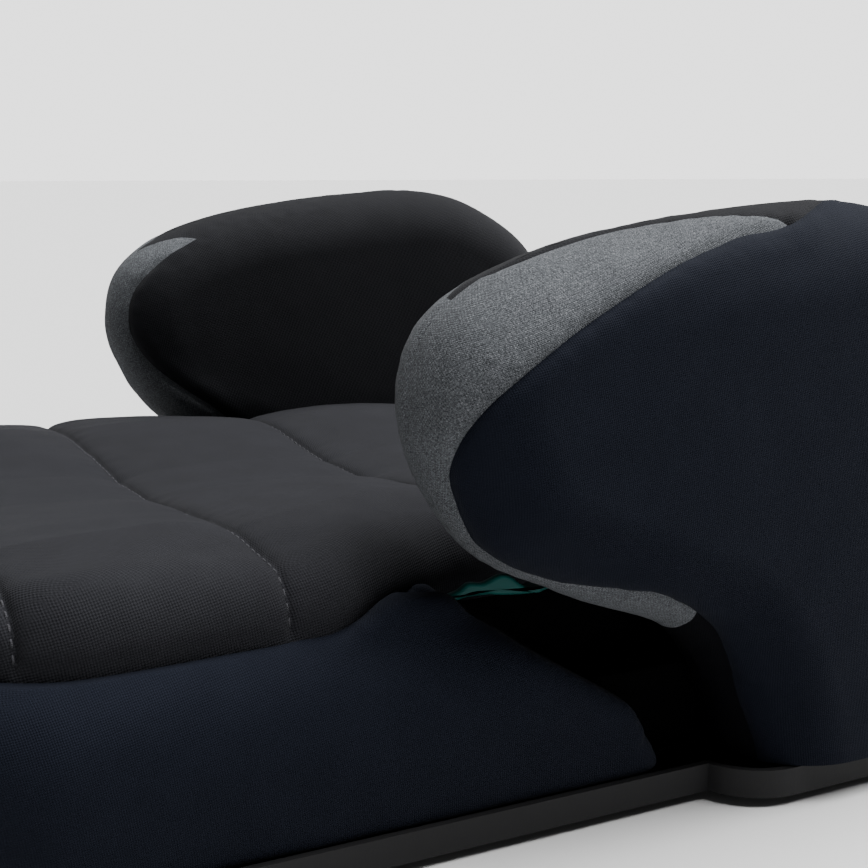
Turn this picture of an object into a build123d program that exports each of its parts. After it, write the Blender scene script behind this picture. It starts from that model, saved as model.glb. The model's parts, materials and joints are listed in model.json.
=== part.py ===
"""Backless booster seat for a car, in millimetres.

The seat faces -Y, +X is the sitting child's left and +Z is up. The origin is on the floor, under the
centre of the seat's bounding box. Left parts are at +X, and right parts are their mirror images.
"""

import os

from build123d import *

# ---- driving dimensions ----
FLOOR_Z = 4.0  # underside of the base pan, on its rubber feet
PAN_T = 3.0  # base pan wall
RIM_TOP = 15.0  # top of the pan's outer rim, where the fabric starts
BOX_TOP = 41.0  # top of the pan's mechanism box
BOX_HALF_W = 160.0
BOX_FRONT, BOX_REAR = -150.0, 206.0
LID_T = 2.5
CORE_BOTTOM = BOX_TOP + LID_T + 0.3

SEAM_Z = 82.0  # seam between the seat's side panel and its quilted top
PAD_TOP = 108.0
PAD_ROUND = 18.0
PAD_HALF_W, PAD_REAR_HALF_W = 168.0, 142.5
PAD_FRONT, PAD_REAR = -205.0, 198.0
FABRIC_T = 2.5
PAD_GAP = 0.2
SNUG = 0.3  # gap between a cover and what it covers

ARM_IN, ARM_OUT = 144.0, 208.0  # armrest's inner and outer faces
ARM_ROUND_IN, ARM_ROUND_OUT = 29.0, 34.0
ARM_RIDGE = ARM_IN + ARM_ROUND_IN + 0.5  # plane of the armrest's top ridge
ARM_FLOOR = RIM_TOP + 0.5
STRIPE_END_Y = 44.0

ISO_HALF_SPACING = 140.0  # ISOFIX connectors are 280 mm apart
ISO_Z = 23.0
MOUTH_H = 8.0  # the car's anchor bar is 6 mm round
TUBE_W, TUBE_H, TUBE_T = 20.0, 16.0, 2.0
TUBE_FRONT, TUBE_REAR = -70.0, 168.0
TUBE_GAP = 0.4
HOUSE_W, HOUSE_H, HOUSE_T = 24.0, 24.0, 2.6
HOUSE_FRONT, HOUSE_REAR = 146.0, 214.0
JAW_T = 5.0
JAW_PIVOT = (178.0, 28.0)
PIN_R = 2.5
PIN_GAP = 0.05  # radial clearance of a pin that turns
CROSSBAR_Y = -60.0
CROSSBAR_Z = 33.4
LEVER_PIVOT = (-40.0, 15.5)
LOCK_BAR_Z = 21.0
LID_SCREWS = [(x, y) for x in (-110, 110) for y in (-130, 80, 180)]
ARM_SCREWS = [(x, y) for x in (-181, 181) for y in (110, 190)]
FEET = [(x * side, y) for side in (-1, 1) for x, y in ((145, -170), (150, 20), (185, 150))]

FAR = 400.0  # larger than the seat, for cutting tools

# The armrest seen from the side, as (Y, Z). It is closed below the floor, where it is cut off.
ARM_OUTLINE = [
    (-61, 161), (-55, 183), (-32, 202.5), (0, 214), (40, 221.5), (95, 227), (140, 225),
    (172, 212), (203, 188), (216, 150), (218, 90), (217, 20), (200, -30), (150, -50),
    (100, -30), (84, 0), (74, 38), (63, 58), (48, 73.5), (25, 83), (-3, 94), (-32, 107),
    (-52, 130),
]  # fmt: skip
ARM_STEPS = 40
# Sewn line between the armrest's outer panel and its grey stripe, then the post's front edge.
OUTER_SEAM = [
    (98, 245), (92, 226), (60, 215), (17, 196), (-24, 174), (-46, 155), (-55, 134), (-50, 119),
    (-33, 109), (4, 96.5), (34, 88), (47, 81), (60, 70), (72, 50), (86, 10), (92, -70),
]  # fmt: skip
# Sewn line between the armrest's inner panel and its grey stripe.
INNER_SEAM = [
    (98, 245), (92, 223), (45, 219), (16, 214), (-12, 206), (-34, 196), (-50, 179), (-55, 160),
    (-49, 146), (-33, 131), (5, 106), (50, 84), (60, 40), (60, -70),
]  # fmt: skip
# The moulded frame inside the armrest, and the foot that is screwed down.
FRAME_X, FRAME_W = 172.5, 14.0
FRAME_OUTLINE = [
    (102, ARM_FLOOR), (200, ARM_FLOOR), (200, 150), (186, 182), (158, 200), (40, 200), (-10, 187), (-34, 168),
    (-28, 146), (60, 130), (102, 100),
]  # fmt: skip
FRAME_POCKETS = [(151, 54, 82, 60), (151, 118, 82, 56), (127, 172, 86, 42), (30, 166, 80, 34)]
FOOT_X, FOOT_Y = 181.0, 150.0
FOOT_SIZE = (28.0, 104.0, 8.0)
# Side view of the belt's way in under the armrest, and of the room for the armrest's post.
RECESS = [(-38, 125), (-38, 91), (-8, 69), (34, 43), (56, 8), (230, 8), (230, 125)]
RECESS_X = 143.5
# Side view of the shoulder that carries the belt guide.
SHOULDER = [(-105, 78), (-92, 82.2), (-78, 85), (-63, 90), (-50, 91), (-30, 91), (-30, 70), (-105, 70)]
# Seat shell sections: height, half width, front, rear.
SHELL_SECTIONS = [
    (15.5, 180, -212, 206),
    (45, 185, -217, 210),
    (68, 182, -215, 208),
    (SEAM_Z - PAD_GAP, 171, -206, 202),
]
SHELL_CORNER = 46.0
# Side view of the belt guide's wavy tongue, as (Y, Z), and of its root in the seat's shoulder.
GUIDE_PROFILE = [
    (-37, 88.5), (-33, 92), (-28.5, 94.3), (-22.5, 93.8), (-19.3, 94.6), (-14.2, 95.8), (-10, 94.2),
    (-6, 91), (-2.3, 89.3), (1.4, 88.7), (4.6, 89.4), (5.6, 88.6), (2.5, 87.4), (-2.3, 87.2),
    (-9, 86.6), (-18, 86.6), (-28, 86.4), (-36, 86),
]  # fmt: skip
GUIDE_IN, GUIDE_OUT = 156.0, 166.0
GUIDE_X = (GUIDE_IN + GUIDE_OUT) / 2
GUIDE_ROOTS = [(GUIDE_X, -52, 80), (-GUIDE_X, -52, 80)]
GUIDE_ROOT_L, GUIDE_ROOT_H = 22.0, 9.5
GUIDE_PIN = (-46.0, 84.0)
ROOT_GAP = 0.2


def arm_outline(inset):
    """Points of the armrest's side view, moved inwards by inset."""
    curve = Edge.make_spline([Vector(*point) for point in ARM_OUTLINE], periodic=True)
    points = []
    for step in range(ARM_STEPS):
        place = curve @ (step / ARM_STEPS)
        along = curve % (step / ARM_STEPS)
        points.append((place.X + inset * along.Y, place.Y - inset * along.X))
    return points


def armrest_body(inset):
    """The armrest's rounded wing and post, each surface moved in by inset."""
    with BuildPart() as body:
        with BuildSketch(Plane.YZ.offset(ARM_IN + inset)):
            with BuildLine():
                Spline(*arm_outline(inset), periodic=True)
            make_face()
        extrude(amount=ARM_OUT - ARM_IN - 2 * inset)
        faces_by_x = body.faces().filter_by(Axis.X).sort_by(Axis.X)
        fillet(faces_by_x[-1].edges(), ARM_ROUND_OUT - inset)
        faces_by_x = body.faces().filter_by(Axis.X).sort_by(Axis.X)
        fillet(faces_by_x[0].edges(), ARM_ROUND_IN - inset)
        split(bisect_by=Plane.XY.offset(ARM_FLOOR), keep=Keep.TOP)
        # The mechanism box passes under the post's inner side.
        with Locations((0, 0, 0)):
            Box(2 * BOX_HALF_W + 5, 2 * FAR, 2 * CORE_BOTTOM, mode=Mode.SUBTRACT)
    return body.part


def seam_region(seam, x_from, x_to):
    """Everything behind a sewn line in side view, between two X planes."""
    with BuildPart() as region:
        with BuildSketch(Plane.YZ.offset(x_from)):
            with BuildLine():
                Polyline(*seam, (FAR, seam[-1][1]), (FAR, seam[0][1]), close=True)
            make_face()
        extrude(amount=x_to - x_from)
    return region.part


def pad_body(inset):
    """The quilted cushion: wide in front and narrow between the armrests."""
    with BuildPart() as pad:
        with BuildSketch(Plane.XY.offset(SEAM_Z)):
            with BuildLine():
                Polyline(
                    (-PAD_HALF_W, PAD_FRONT), (PAD_HALF_W, PAD_FRONT), (PAD_HALF_W, -80),
                    (PAD_REAR_HALF_W, -28), (PAD_REAR_HALF_W, PAD_REAR),
                    (-PAD_REAR_HALF_W, PAD_REAR), (-PAD_REAR_HALF_W, -28), (-PAD_HALF_W, -80),
                    close=True,
                )  # fmt: skip
            outline = make_face()
            front = outline.vertices().group_by(Axis.Y)[0]
            rear = outline.vertices().group_by(Axis.Y)[-1]
            middle = outline.vertices().filter_by_position(Axis.Y, -100, 0)
            fillet(front, 44)
            fillet(middle, 34)
            fillet(rear, 26)
            if inset:
                offset(amount=-inset)
        extrude(amount=PAD_TOP - SEAM_Z - inset)
        fillet(pad.faces().sort_by(Axis.Z)[-1].edges(), PAD_ROUND - inset)
    return pad.part


def seat_shell(inset):
    """The seat's body under the quilted top, with the belt recesses cut out."""
    with BuildPart() as shell:
        for height, half_w, front, rear in SHELL_SECTIONS:
            with BuildSketch(Plane.XY.offset(height)):
                with Locations((0, (front + rear) / 2)):
                    RectangleRounded(
                        2 * (half_w - inset), rear - front - 2 * inset, SHELL_CORNER - inset
                    )
        loft()
        with BuildSketch(Plane.YZ.offset(RECESS_X - inset - 4)):
            with BuildLine():
                Polyline(*SHOULDER, close=True)
            make_face()
            if inset:
                offset(amount=-inset)
        shoulder = extrude(amount=174 - RECESS_X + 4)
        mirror(shoulder, about=Plane.YZ)
        with BuildSketch(Plane.YZ.offset(RECESS_X - inset)):
            with BuildLine():
                Polyline(*RECESS, close=True)
            make_face()
            if inset:
                offset(amount=inset)
        recess = extrude(amount=FAR, mode=Mode.SUBTRACT)
        mirror(recess, about=Plane.YZ, mode=Mode.SUBTRACT)
        # The mechanism box and the finger gap of the release lever.
        with Locations((0, FAR + BOX_FRONT - 3, 0)):
            Box(2 * BOX_HALF_W + 5, 2 * FAR, 2 * CORE_BOTTOM, mode=Mode.SUBTRACT)
        with Locations((0, BOX_FRONT - 40, 0)):
            Box(80, 90, 68, mode=Mode.SUBTRACT)
        # The quilted pad sits in front of and between the shoulders.
        add(pad_body(-PAD_GAP - inset), mode=Mode.SUBTRACT)
    return shell.part


def keep(part, name):
    """Label a part and write its STEP file."""
    part.label = name
    export_step(part, f"parts/{name}.step")


def keep_pair(part, name):
    """Write a left part and its mirror image on the right."""
    keep(part, f"{name}_left")
    with BuildPart() as other:
        mirror(part, about=Plane.YZ)
    keep(other.part, f"{name}_right")


os.makedirs("parts", exist_ok=True)
UP = (Align.CENTER, Align.CENTER, Align.MIN)
ROOT_ALIGN = (Align.CENTER, Align.MIN, Align.MIN)
SIDE_FRONT = (Align.CENTER, Align.MIN, Align.CENTER)

# ---- base pan, with the mechanism's box standing in it ----
with BuildPart() as base_pan:
    with BuildSketch(Plane.XY.offset(FLOOR_Z)):
        with Locations((0, -2)):
            RectangleRounded(366, 424, 48)
        with Locations((0, 140)):
            RectangleRounded(404, 148, 28)
    extrude(amount=RIM_TOP - FLOOR_Z)
    with BuildSketch(Plane.XY.offset(FLOOR_Z + PAN_T)):
        with Locations((0, -2)):
            RectangleRounded(366 - 2 * PAN_T, 424 - 2 * PAN_T, 45)
        with Locations((0, 140)):
            RectangleRounded(404 - 2 * PAN_T, 148 - 2 * PAN_T, 25)
    extrude(amount=RIM_TOP, mode=Mode.SUBTRACT)
    with BuildSketch(Plane.XY.offset(FLOOR_Z + 1)):
        with Locations((0, (BOX_FRONT + BOX_REAR) / 2)):
            Rectangle(2 * BOX_HALF_W, BOX_REAR - BOX_FRONT)
            Rectangle(2 * (BOX_HALF_W - PAN_T), BOX_REAR - BOX_FRONT - 2 * PAN_T, mode=Mode.SUBTRACT)
    extrude(amount=BOX_TOP - FLOOR_Z - 1)
    # Guide rails and saddles for the two sliding tubes.
    for side in (-ISO_HALF_SPACING, ISO_HALF_SPACING):
        rail_x = TUBE_W / 2 + TUBE_GAP + PAN_T / 2
        with Locations((side - rail_x, 35, FLOOR_Z + 1), (side + rail_x, 35, FLOOR_Z + 1)):
            Box(PAN_T, 190, 28, align=UP)
        with Locations((side, -40, FLOOR_Z + 1), (side, 60, FLOOR_Z + 1)):
            Box(2 * rail_x, 8, ISO_Z - TUBE_H / 2 - 0.2 - FLOOR_Z - 1, align=UP)
    # Cross ribs and the bearings of the lever's pin.
    with Locations((0, 100, FLOOR_Z + 1), (0, 150, FLOOR_Z + 1)):
        Box(246, 2.5, 30, align=UP)
    with Locations((-60, 152, FLOOR_Z + 1), (60, 152, FLOOR_Z + 1)):
        Box(2.5, 106, 30, align=UP)
    with Locations((-24, LEVER_PIVOT[0], FLOOR_Z + 1), (24, LEVER_PIVOT[0], FLOOR_Z + 1)):
        Box(6, 14, 16, align=UP)
    with Locations(Location((0, *LEVER_PIVOT), (0, 90, 0))):
        Cylinder(PIN_R, 60, mode=Mode.SUBTRACT)
    # Screw posts for the lid and for the armrest frames.
    for places, height in ((LID_SCREWS, 28), (ARM_SCREWS, 10)):
        with Locations(*[(x, y, FLOOR_Z + 1) for x, y in places]):
            Cylinder(5.5, height, align=UP)
    for places, radius in ((LID_SCREWS, 2.1), (ARM_SCREWS, 2.6)):
        with Locations(*[(x, y, FLOOR_Z) for x, y in places]):
            Cylinder(radius, 60, align=UP, mode=Mode.SUBTRACT)
            Cylinder(2 * radius, 3, align=UP, mode=Mode.SUBTRACT)
    # Slots that the lock bar slides through.
    with Locations((0, 125, LOCK_BAR_Z - 2)):
        Box(18, 60, 20, align=UP, mode=Mode.SUBTRACT)
    # Openings for the connectors, the lever and the fingers that pull it.
    for side in (-ISO_HALF_SPACING, ISO_HALF_SPACING):
        with Locations((side, BOX_REAR, ISO_Z + 1)):
            Box(HOUSE_W + 4, 40, 32, mode=Mode.SUBTRACT)
    with Locations((0, BOX_FRONT - 43, FLOOR_Z)):
        Box(76, 84, 60, mode=Mode.SUBTRACT)
    with Locations((0, BOX_FRONT, 21)):
        Box(60, 12, 26, mode=Mode.SUBTRACT)
keep(base_pan.part, "base_pan")

with BuildPart() as mechanism_lid:
    with BuildSketch(Plane.XY.offset(BOX_TOP)):
        with Locations((0, (BOX_FRONT + BOX_REAR) / 2)):
            RectangleRounded(2 * BOX_HALF_W, BOX_REAR - BOX_FRONT, 3)
    extrude(amount=LID_T)
    # Bosses for the screws, and ribs that keep the tubes down.
    with Locations(*[(x, y, BOX_TOP) for x, y in LID_SCREWS]):
        Cylinder(5, 8, align=(Align.CENTER, Align.CENTER, Align.MAX))
    for y in (84, 120):
        with Locations((-ISO_HALF_SPACING, y, BOX_TOP), (ISO_HALF_SPACING, y, BOX_TOP)):
            Box(20, 3, BOX_TOP - ISO_Z - TUBE_H / 2 - 0.4, align=(Align.CENTER, Align.CENTER, Align.MAX))
    with Locations(*[(x, y, BOX_TOP - 8) for x, y in LID_SCREWS]):
        Cylinder(2, 8, align=UP, mode=Mode.SUBTRACT)
keep(mechanism_lid.part, "mechanism_lid")

with BuildPart() as lid_screws:
    with Locations(*[(x, y, FLOOR_Z + 0.6) for x, y in LID_SCREWS]):
        Cylinder(3.9, 2.4, align=UP)
        Cylinder(2, 35, align=UP)
    with Locations(*[(x, y, FLOOR_Z + 0.6) for x, y in LID_SCREWS]):
        Cylinder(1.2, 1.4, align=UP, mode=Mode.SUBTRACT)
keep(lid_screws.part, "lid_screws")

with BuildPart() as rubber_feet:
    with Locations(*[(x, y, 0) for x, y in FEET]):
        Cylinder(11, FLOOR_Z, align=UP)
    fillet(rubber_feet.edges().filter_by(GeomType.CIRCLE).group_by(Axis.Z)[0], 1.5)
keep(rubber_feet.part, "rubber_feet")

# ---- seat body ----
with BuildPart() as guide_pockets:
    with Locations(*GUIDE_ROOTS):
        with Locations((0, -ROOT_GAP, -ROOT_GAP)):
            Box(GUIDE_OUT - GUIDE_IN + 2 * ROOT_GAP, 32, 12, align=ROOT_ALIGN)

with BuildPart() as seat_core:
    add(seat_shell(FABRIC_T + SNUG))
    add(guide_pockets.part, mode=Mode.SUBTRACT)
keep(seat_core.part, "seat_core")

with BuildPart() as seat_side_cover:
    add(seat_shell(0))
    add(seat_shell(FABRIC_T), mode=Mode.SUBTRACT)
    add(guide_pockets.part, mode=Mode.SUBTRACT)
keep(seat_side_cover.part, "seat_side_cover")

with BuildPart() as pad_foam:
    add(pad_body(FABRIC_T + SNUG))
keep(pad_foam.part, "pad_foam")

with BuildPart() as quilted_cover:
    add(pad_body(0))
    add(pad_body(FABRIC_T), mode=Mode.SUBTRACT)
keep(quilted_cover.part, "quilted_cover")

# ---- belt guides ----
with BuildPart() as belt_guide:
    with BuildSketch(Plane.YZ.offset(GUIDE_IN)):
        with BuildLine():
            Spline(*GUIDE_PROFILE, periodic=True)
        make_face()
    extrude(amount=GUIDE_OUT - GUIDE_IN)
    # Root, pinned into the seat's shoulder.
    with Locations(GUIDE_ROOTS[0]):
        Box(GUIDE_OUT - GUIDE_IN, GUIDE_ROOT_L, GUIDE_ROOT_H, align=ROOT_ALIGN)
    with Locations(Location((GUIDE_X, *GUIDE_PIN), (0, 90, 0))):
        Cylinder(2, 20, mode=Mode.SUBTRACT)
keep_pair(belt_guide.part, "belt_guide")

with BuildPart() as guide_pins:
    for x in (-GUIDE_X, GUIDE_X):
        with Locations(Location((x, *GUIDE_PIN), (0, 90, 0))):
            Cylinder(2, GUIDE_OUT - GUIDE_IN)
keep(guide_pins.part, "guide_pins")

# ---- armrests ----
behind_outer = seam_region(OUTER_SEAM, ARM_RIDGE, FAR)
behind_inner = seam_region(INNER_SEAM, 0, ARM_RIDGE)
with BuildPart() as arm_cover:
    add(armrest_body(0))
    add(armrest_body(FABRIC_T), mode=Mode.SUBTRACT)

with BuildPart() as arm_outer_panel:
    add(arm_cover.part)
    add(behind_outer, mode=Mode.INTERSECT)
keep_pair(arm_outer_panel.part, "arm_outer_panel")

with BuildPart() as arm_stripe:
    add(arm_cover.part)
    add(behind_outer, mode=Mode.SUBTRACT)
    add(behind_inner, mode=Mode.SUBTRACT)
    with Locations((ARM_RIDGE, STRIPE_END_Y, 0)):
        Box(100, FAR, 150, align=(Align.CENTER, Align.MIN, Align.MIN), mode=Mode.SUBTRACT)
keep_pair(arm_stripe.part, "arm_stripe")

with BuildPart() as arm_inner_panel:
    add(arm_cover.part)
    add(behind_outer, mode=Mode.SUBTRACT)
    add(arm_stripe.part, mode=Mode.SUBTRACT)
keep_pair(arm_inner_panel.part, "arm_inner_panel")

with BuildPart() as arm_frame:
    with BuildSketch(Plane.YZ.offset(FRAME_X)):
        with BuildLine():
            Polyline(*FRAME_OUTLINE, close=True)
        outline = make_face()
        fillet(outline.vertices().filter_by_position(Axis.Z, 90, 210), 8)
    extrude(amount=FRAME_W)
    # Lightening pockets, and the foot that is screwed to the pan.
    with BuildSketch(Plane.YZ.offset(FRAME_X + 3)):
        for y, z, length, height in FRAME_POCKETS:
            with Locations((y, z)):
                RectangleRounded(length, height, 6)
    extrude(amount=FRAME_W, mode=Mode.SUBTRACT)
    with Locations((FOOT_X, FOOT_Y, ARM_FLOOR)):
        Box(*FOOT_SIZE, align=UP)
    with Locations((FOOT_X, 110, ARM_FLOOR), (FOOT_X, 190, ARM_FLOOR)):
        Cylinder(2.5, 12, align=UP, mode=Mode.SUBTRACT)
keep_pair(arm_frame.part, "arm_frame")

with BuildPart() as arm_core:
    add(armrest_body(FABRIC_T + SNUG))
    # Pocket that holds the frame.
    with BuildSketch(Plane.YZ.offset(FRAME_X - 0.2)):
        with BuildLine():
            Polyline(*FRAME_OUTLINE, close=True)
        make_face()
        with Locations((FOOT_Y, ARM_FLOOR)):
            Rectangle(FOOT_SIZE[1] - 2, 20)
    extrude(amount=FRAME_W + 0.4, mode=Mode.SUBTRACT)
    with Locations((FOOT_X, FOOT_Y, ARM_FLOOR - 1)):
        Box(FOOT_SIZE[0] + 0.4, FOOT_SIZE[1] + 0.4, FOOT_SIZE[2] + 1.2, align=UP, mode=Mode.SUBTRACT)
keep_pair(arm_core.part, "arm_core")

with BuildPart() as arm_screws:
    with Locations(*[(x, y, FLOOR_Z + 0.6) for x, y in ARM_SCREWS]):
        Cylinder(4.9, 2.4, align=UP)
        Cylinder(2.5, 21, align=UP)
    with Locations(*[(x, y, FLOOR_Z + 0.6) for x, y in ARM_SCREWS]):
        Cylinder(1.6, 1.4, align=UP, mode=Mode.SUBTRACT)
keep(arm_screws.part, "arm_screws")

# ---- sliding anchor connectors ----
with BuildPart() as connector_tube:
    with BuildSketch(Plane.XZ.offset(-TUBE_FRONT)):
        with Locations((ISO_HALF_SPACING, ISO_Z)):
            RectangleRounded(TUBE_W, TUBE_H, 2.5)
            RectangleRounded(TUBE_W - 2 * TUBE_T, TUBE_H - 2 * TUBE_T, 1, mode=Mode.SUBTRACT)
    extrude(amount=TUBE_FRONT - TUBE_REAR)
    with Locations(Location((ISO_HALF_SPACING, 158, ISO_Z), (0, 90, 0))):
        Cylinder(PIN_R, 30, mode=Mode.SUBTRACT)
keep_pair(connector_tube.part, "connector_tube")

with BuildPart() as crossbar:
    with Locations((0, CROSSBAR_Y, CROSSBAR_Z)):
        Box(2 * ISO_HALF_SPACING + 16, 20, 4, align=UP)
    for side in (-ISO_HALF_SPACING, ISO_HALF_SPACING):
        with Locations((side, CROSSBAR_Y, ISO_Z + TUBE_H / 2)):
            Box(16, 20, CROSSBAR_Z - ISO_Z - TUBE_H / 2, align=UP)
    with Locations((0, CROSSBAR_Y, LOCK_BAR_Z + 4)):
        Box(14, 20, CROSSBAR_Z - LOCK_BAR_Z - 4, align=UP)
keep(crossbar.part, "crossbar")

with BuildPart() as lock_bar:
    with Locations((0, -20, LOCK_BAR_Z)):
        Box(14, 120, 4, align=UP)
    chamfer(lock_bar.faces().sort_by(Axis.Y)[0].edges().filter_by(Axis.X), 1)
keep(lock_bar.part, "lock_bar")

with BuildPart() as latch_housing:
    with Locations((ISO_HALF_SPACING, HOUSE_FRONT, ISO_Z)):
        Box(HOUSE_W, HOUSE_REAR - HOUSE_FRONT, HOUSE_H, align=SIDE_FRONT)
    fillet(latch_housing.edges().filter_by(Axis.Y), 3)
    with Locations((ISO_HALF_SPACING, TUBE_REAR + 2, ISO_Z)):
        Box(JAW_T + 3, FAR, HOUSE_H - 2 * HOUSE_T, align=SIDE_FRONT, mode=Mode.SUBTRACT)
    with Locations((ISO_HALF_SPACING, HOUSE_FRONT, ISO_Z)):
        Box(TUBE_W, TUBE_REAR - HOUSE_FRONT, TUBE_H, align=SIDE_FRONT, mode=Mode.SUBTRACT)
    # Mouth for the anchor bar, and the slot the jaw lifts through.
    with Locations((ISO_HALF_SPACING, 199, ISO_Z)):
        Box(FAR, 30, MOUTH_H, align=SIDE_FRONT, mode=Mode.SUBTRACT)
    with Locations((ISO_HALF_SPACING, TUBE_REAR + 2, ISO_Z)):
        Box(JAW_T + 3, FAR, 20, align=(Align.CENTER, Align.MIN, Align.MIN), mode=Mode.SUBTRACT)
    with Locations((ISO_HALF_SPACING, 151, ISO_Z + 4)):
        Box(5, 18, 20, align=(Align.CENTER, Align.MIN, Align.MIN), mode=Mode.SUBTRACT)
    for y, z in ((158, ISO_Z), JAW_PIVOT):
        with Locations(Location((ISO_HALF_SPACING, y, z), (0, 90, 0))):
            Cylinder(PIN_R, 30, mode=Mode.SUBTRACT)
keep_pair(latch_housing.part, "latch_housing")

with BuildPart() as latch_jaw:
    with BuildSketch(Plane.YZ.offset(ISO_HALF_SPACING - JAW_T / 2)):
        with BuildLine():
            Polyline(
                (172, 23.5), (196, 27.5), (206, 27.5), (206, 21), (208, 20.4), (212, 24), (212, 31),
                (190, 32.5), (172, 32.5), close=True,
            )  # fmt: skip
        outline = make_face()
        fillet(outline.vertices().filter_by_position(Axis.Y, 170, 180), 2.5)
        fillet(outline.vertices().filter_by_position(Axis.Y, 211, 213), 1.5)
    extrude(amount=JAW_T)
    with Locations(Location((ISO_HALF_SPACING, *JAW_PIVOT), (0, 90, 0))):
        Cylinder(PIN_R + PIN_GAP, 30, mode=Mode.SUBTRACT)
keep_pair(latch_jaw.part, "latch_jaw")

with BuildPart() as housing_pins:
    for side in (-ISO_HALF_SPACING, ISO_HALF_SPACING):
        for y, z in ((158, ISO_Z), JAW_PIVOT):
            with Locations(Location((side, y, z), (0, 90, 0))):
                Cylinder(PIN_R, HOUSE_W - 1)
keep(housing_pins.part, "housing_pins")

with BuildPart() as release_button:
    with Locations((ISO_HALF_SPACING, 159, ISO_Z + HOUSE_H / 2 + 0.1)):
        Box(16, 15, 3, align=UP)
    fillet(release_button.faces().sort_by(Axis.Z)[-1].edges(), 1)
    with Locations((ISO_HALF_SPACING, 162, ISO_Z + TUBE_H / 2 + 1)):
        Box(4.6, 9, 4, align=UP)
    for y in (155, 159, 163):
        with Locations((ISO_HALF_SPACING, y, ISO_Z + HOUSE_H / 2 + 3.1)):
            Box(12, 1.4, 0.7, align=UP)
keep_pair(release_button.part, "release_button")

# ---- release lever ----
with BuildPart() as release_lever:
    with BuildSketch(Plane.YZ.offset(-10)):
        with BuildLine():
            Polyline(
                (-188, 12), (-46, 12), (-40, 10.9), (-34, 12), (34, 13.5), (34, 20.9), (26, 20.9),
                (26, 17), (-34, 17), (-40, 20), (-46, 15.5), (-188, 15.5), close=True,
            )  # fmt: skip
        make_face()
    extrude(amount=20)
    with Locations((0, -190, 9)):
        Box(60, 16, 9, align=UP)
    fillet(release_lever.faces().sort_by(Axis.Y)[0].edges(), 2.5)
    with Locations(Location((0, *LEVER_PIVOT), (0, 90, 0))):
        Cylinder(PIN_R + PIN_GAP, 30, mode=Mode.SUBTRACT)
keep(release_lever.part, "release_lever")

with BuildPart() as lever_pin:
    with Locations(Location((0, *LEVER_PIVOT), (0, 90, 0))):
        Cylinder(PIN_R, 54)
keep(lever_pin.part, "lever_pin")

with BuildPart() as lever_spring:
    with Locations(*[Location((x, *LEVER_PIVOT), (0, 90, 0)) for x in (-17, -15, 15, 17)]):
        Torus(3.6, 0.8)
keep(lever_spring.part, "lever_spring")
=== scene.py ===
"""Backless booster seat: covers, guides, materials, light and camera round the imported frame."""

import json
import math

import bmesh
import bpy
import numpy as np
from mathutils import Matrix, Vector, noise
from mathutils.bvhtree import BVHTree

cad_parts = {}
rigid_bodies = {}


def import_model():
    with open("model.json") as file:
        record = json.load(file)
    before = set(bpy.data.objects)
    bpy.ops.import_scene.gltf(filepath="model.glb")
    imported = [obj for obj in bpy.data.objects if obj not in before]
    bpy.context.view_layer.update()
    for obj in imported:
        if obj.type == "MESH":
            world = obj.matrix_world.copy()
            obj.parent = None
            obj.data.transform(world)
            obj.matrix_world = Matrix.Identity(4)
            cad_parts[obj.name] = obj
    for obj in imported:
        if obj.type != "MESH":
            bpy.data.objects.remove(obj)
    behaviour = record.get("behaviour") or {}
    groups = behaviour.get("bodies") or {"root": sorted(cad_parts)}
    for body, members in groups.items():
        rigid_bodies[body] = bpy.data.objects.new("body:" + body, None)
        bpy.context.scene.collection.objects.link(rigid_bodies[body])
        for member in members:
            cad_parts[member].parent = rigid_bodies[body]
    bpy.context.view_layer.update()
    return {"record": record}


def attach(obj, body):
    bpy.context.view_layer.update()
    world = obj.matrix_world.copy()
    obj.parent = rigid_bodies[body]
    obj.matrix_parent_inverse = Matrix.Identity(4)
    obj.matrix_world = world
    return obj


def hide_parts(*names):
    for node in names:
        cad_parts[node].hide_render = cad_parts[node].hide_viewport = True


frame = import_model()
MM = 0.001

# ---- sizes, in millimetres, as in the CAD: X to the seat's left, Y to its back, Z up ----
SIDE_NAMES = {1: "left", -1: "right"}
ARM_IN, ARM_OUT = 144.0, 208.0  # the armrest's inner and outer faces
ARM_ROUND_IN, ARM_ROUND_OUT = 29.0, 34.0
ARM_CROWN_IN, ARM_CROWN_OUT = 2.2, 4.0  # how far the padding bulges past each face
ARM_RIDGE = ARM_IN + ARM_ROUND_IN + 0.5  # the plane where the two halves meet
ARM_FLOOR = 15.5
ARM_TOP_SIDE = 150.0  # the armrest's upper side is above this height
OPENING_X, OPENING_Z = 153.5, 34.0  # the opening for the connector tube, low in the inner face
ARM_OUTLINE = [
    (-56.5, 161), (-51, 183), (-31, 201.5), (0, 213), (40, 220.5), (95, 226), (140, 225),
    (172, 213), (203, 189), (216, 150), (218, 90), (217, 20), (200, -30), (150, -50),
    (100, -30), (84, 0), (74, 38), (63, 57), (48, 71.5), (25, 80.5), (-3, 93), (-31, 107),
    (-48, 130),
]
# Where the covers' panels are sewn together, on the outer and the inner half, as (Y, Z).
OUTER_SEAM = [
    (96, 245), (90.5, 221.5), (62, 215.5), (33, 207), (5, 195), (-19, 182), (-39, 167), (-47.3, 155),
    (-49.5, 143), (-47.2, 133), (-37.5, 115), (-28, 106.5), (-15, 100), (-2, 96), (16, 93), (28, 91),
    (38, 86.5), (49, 80), (60, 70), (72, 50), (86, 10), (92, -70),
]
INNER_SEAM = [
    (80, 245), (59, 222.5), (38, 217.5), (13.5, 212), (-10.5, 203.5), (-33.5, 191), (-46, 179),
    (-50.5, 168), (-50.3, 154), (-42, 138.5), (-26, 124.5), (-8, 112), (8, 98), (17, 86), (24, 60),
    (30, -70),
]
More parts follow.
